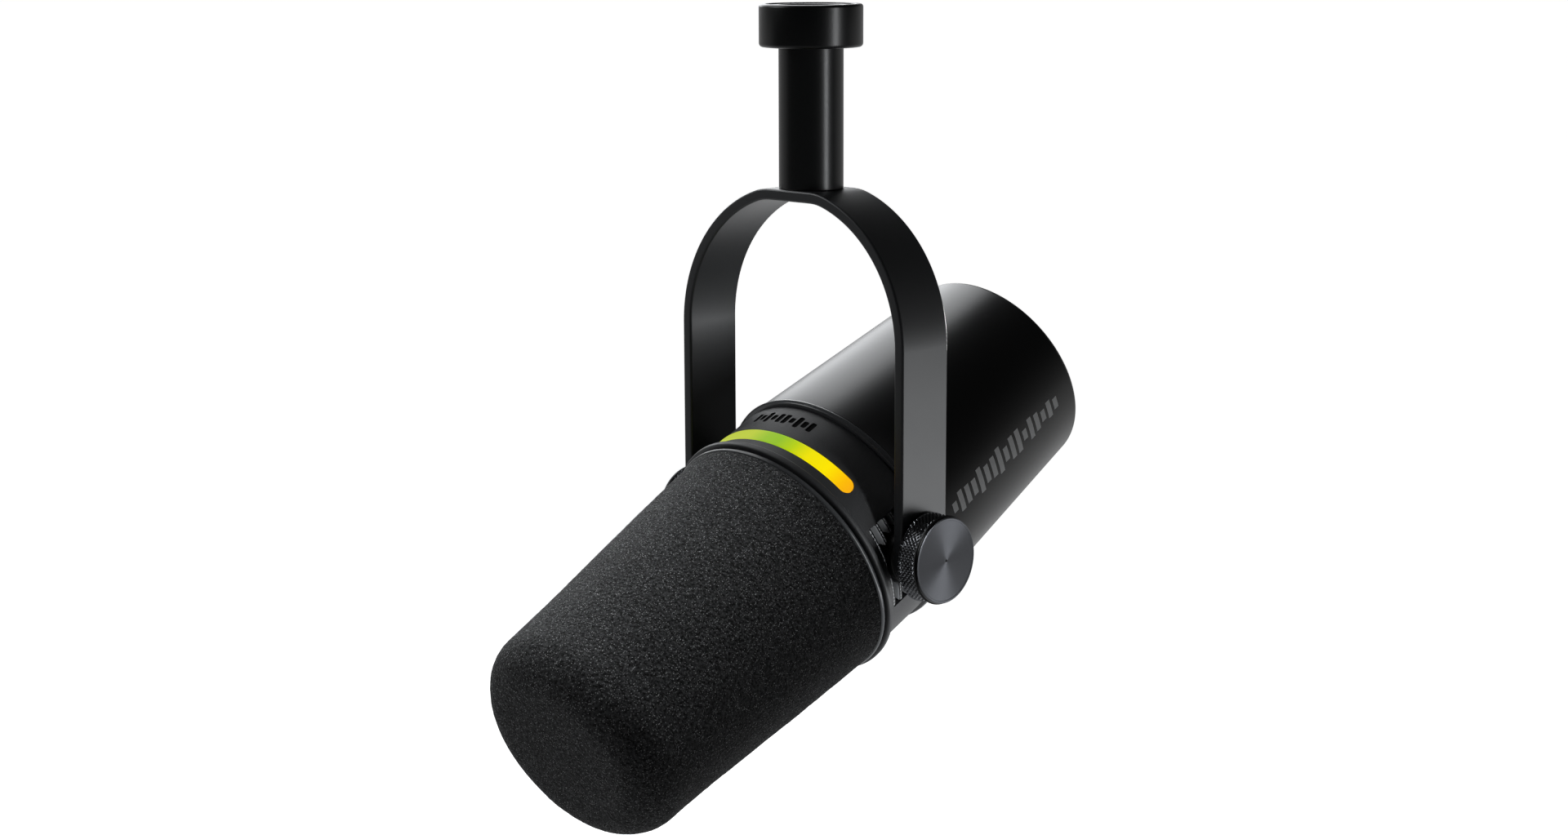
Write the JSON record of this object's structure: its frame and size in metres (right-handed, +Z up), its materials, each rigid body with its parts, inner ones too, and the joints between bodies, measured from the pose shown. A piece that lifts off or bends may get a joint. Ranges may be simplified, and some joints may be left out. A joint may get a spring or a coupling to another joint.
{
  "type": "broadcast microphone",
  "caption": "End-address broadcast microphone with foam windscreen and light strip, tilting in a strap yoke that hangs from a threaded swivel collar.",
  "frame": {"origin": "mouth of the stand thread, on the stem's axis", "axes": "+Z up along the stem and out of the stand thread, +X along the pivot towards the head's right knob, nose towards -Y and tilted down"},
  "size_m": [0.0838, 0.1658, 0.1815],
  "materials": {
    "satin_black": "satin powder coat",
    "yoke_paint": "satin paint on flat strap",
    "barrel_aluminium": "black anodised, satin",
    "housing_plastic": "fine texture",
    "trim": "semi-gloss",
    "light": "diffusing, lit from behind",
    "circuit": "solder mask",
    "led": "moulded",
    "steel": "machined",
    "brass": "machined",
    "rubber": "moulded",
    "knob_metal": "black anodised, turned face, knurled rim",
    "grille_metal": "perforated, black",
    "magnet_alloy": "nickel plated",
    "film": "thin polyester film",
    "copper": "enamelled copper wire",
    "wire": "insulation",
    "chip": "moulded",
    "inner_plastic": "moulded",
    "foam": "open-cell foam"
  },
  "bodies": {
    "collar": {"swivel_collar": "satin_black", "thread_insert": "brass"},
    "yoke": {"stem": "satin_black", "yoke": "yoke_paint", "stem_screw": "steel"},
    "diaphragm": {"diaphragm": "film", "voice_coil": "copper"},
    "right_knob_washer": {"right_knob_washer": "inner_plastic"},
    "left_knob_washer": {"left_knob_washer": "inner_plastic"},
    "right_knob": {"right_knob": "knob_metal", "right_stud": "steel"},
    "left_knob": {"left_knob": "knob_metal", "left_stud": "steel"},
    "windscreen": {"foam_windscreen": "foam", "windscreen_ring": "trim"},
    "head": {"barrel": "barrel_aluminium", "barrel_trim_ring": "trim", "barrel_seal": "rubber", "front_housing": "housing_plastic", "left_vent": "trim", "right_vent": "trim", "light_lens": "light", "light_board": "circuit", "light_leds": "led", "pivot_chassis": "steel", "chassis_screws": "steel", "left_pivot_bush": "brass", "right_pivot_bush": "brass", "left_friction_washer": "rubber", "right_friction_washer": "rubber", "capsule_carrier": "inner_plastic", "grille": "grille_metal", "grille_screws": "steel", "front_shock_mount": "rubber", "rear_shock_mount": "rubber", "capsule_housing": "steel", "capsule_cap": "inner_plastic", "magnet_cup": "steel", "magnet": "magnet_alloy", "pole_piece": "steel", "top_plate": "steel", "capsule_leads": "wire", "main_board": "circuit", "board_components": "chip", "board_tray": "inner_plastic", "board_screws": "steel", "rear_panel": "housing_plastic", "rear_panel_screws": "steel", "xlr_shell": "steel", "xlr_insulator": "inner_plastic", "xlr_pins": "brass", "usb_receptacle": "steel", "usb_tongue": "inner_plastic", "headphone_jack": "housing_plastic"}
  },
  "joints": [
    {"name": "yoke_swivel", "type": "hinge", "parent": "collar", "child": "yoke", "pos_m": [0, 0, 0], "axis": [0, 0, 1], "continuous": true},
    {"name": "head_tilt", "type": "hinge", "parent": "yoke", "child": "head", "pos_m": [0, 0, -0.1239], "axis": [1, 0, 0], "range_deg": [-84, 40]},
    {"name": "right_knob_travel", "type": "slide", "parent": "head", "child": "right_knob_washer", "axis": [1, 0, 0], "range_m": [0, 0.002]},
    {"name": "right_knob_turn", "type": "hinge", "parent": "right_knob_washer", "child": "right_knob", "pos_m": [0, 0, -0.1239], "axis": [1, 0, 0], "range_deg": [0, 720]},
    {"name": "left_knob_travel", "type": "slide", "parent": "head", "child": "left_knob_washer", "axis": [-1, 0, 0], "range_m": [0, 0.002]},
    {"name": "left_knob_turn", "type": "hinge", "parent": "left_knob_washer", "child": "left_knob", "pos_m": [0, 0, -0.1239], "axis": [-1, 0, 0], "range_deg": [0, 720]},
    {"name": "windscreen_pull", "type": "slide", "parent": "head", "child": "windscreen", "axis": [0, -0.9121, -0.4099], "range_m": [0, 0.07]},
    {"name": "diaphragm_throw", "type": "slide", "parent": "head", "child": "diaphragm", "axis": [0, -0.9121, -0.4099], "range_m": [-0.0003, 0.0003], "stiffness_N_per_m": 400}
  ],
  "couplings": [
    {"joint": "right_knob_turn", "follows": "right_knob_travel", "rad_per_m": 6283.2},
    {"joint": "left_knob_turn", "follows": "left_knob_travel", "rad_per_m": 6283.2}
  ]
}
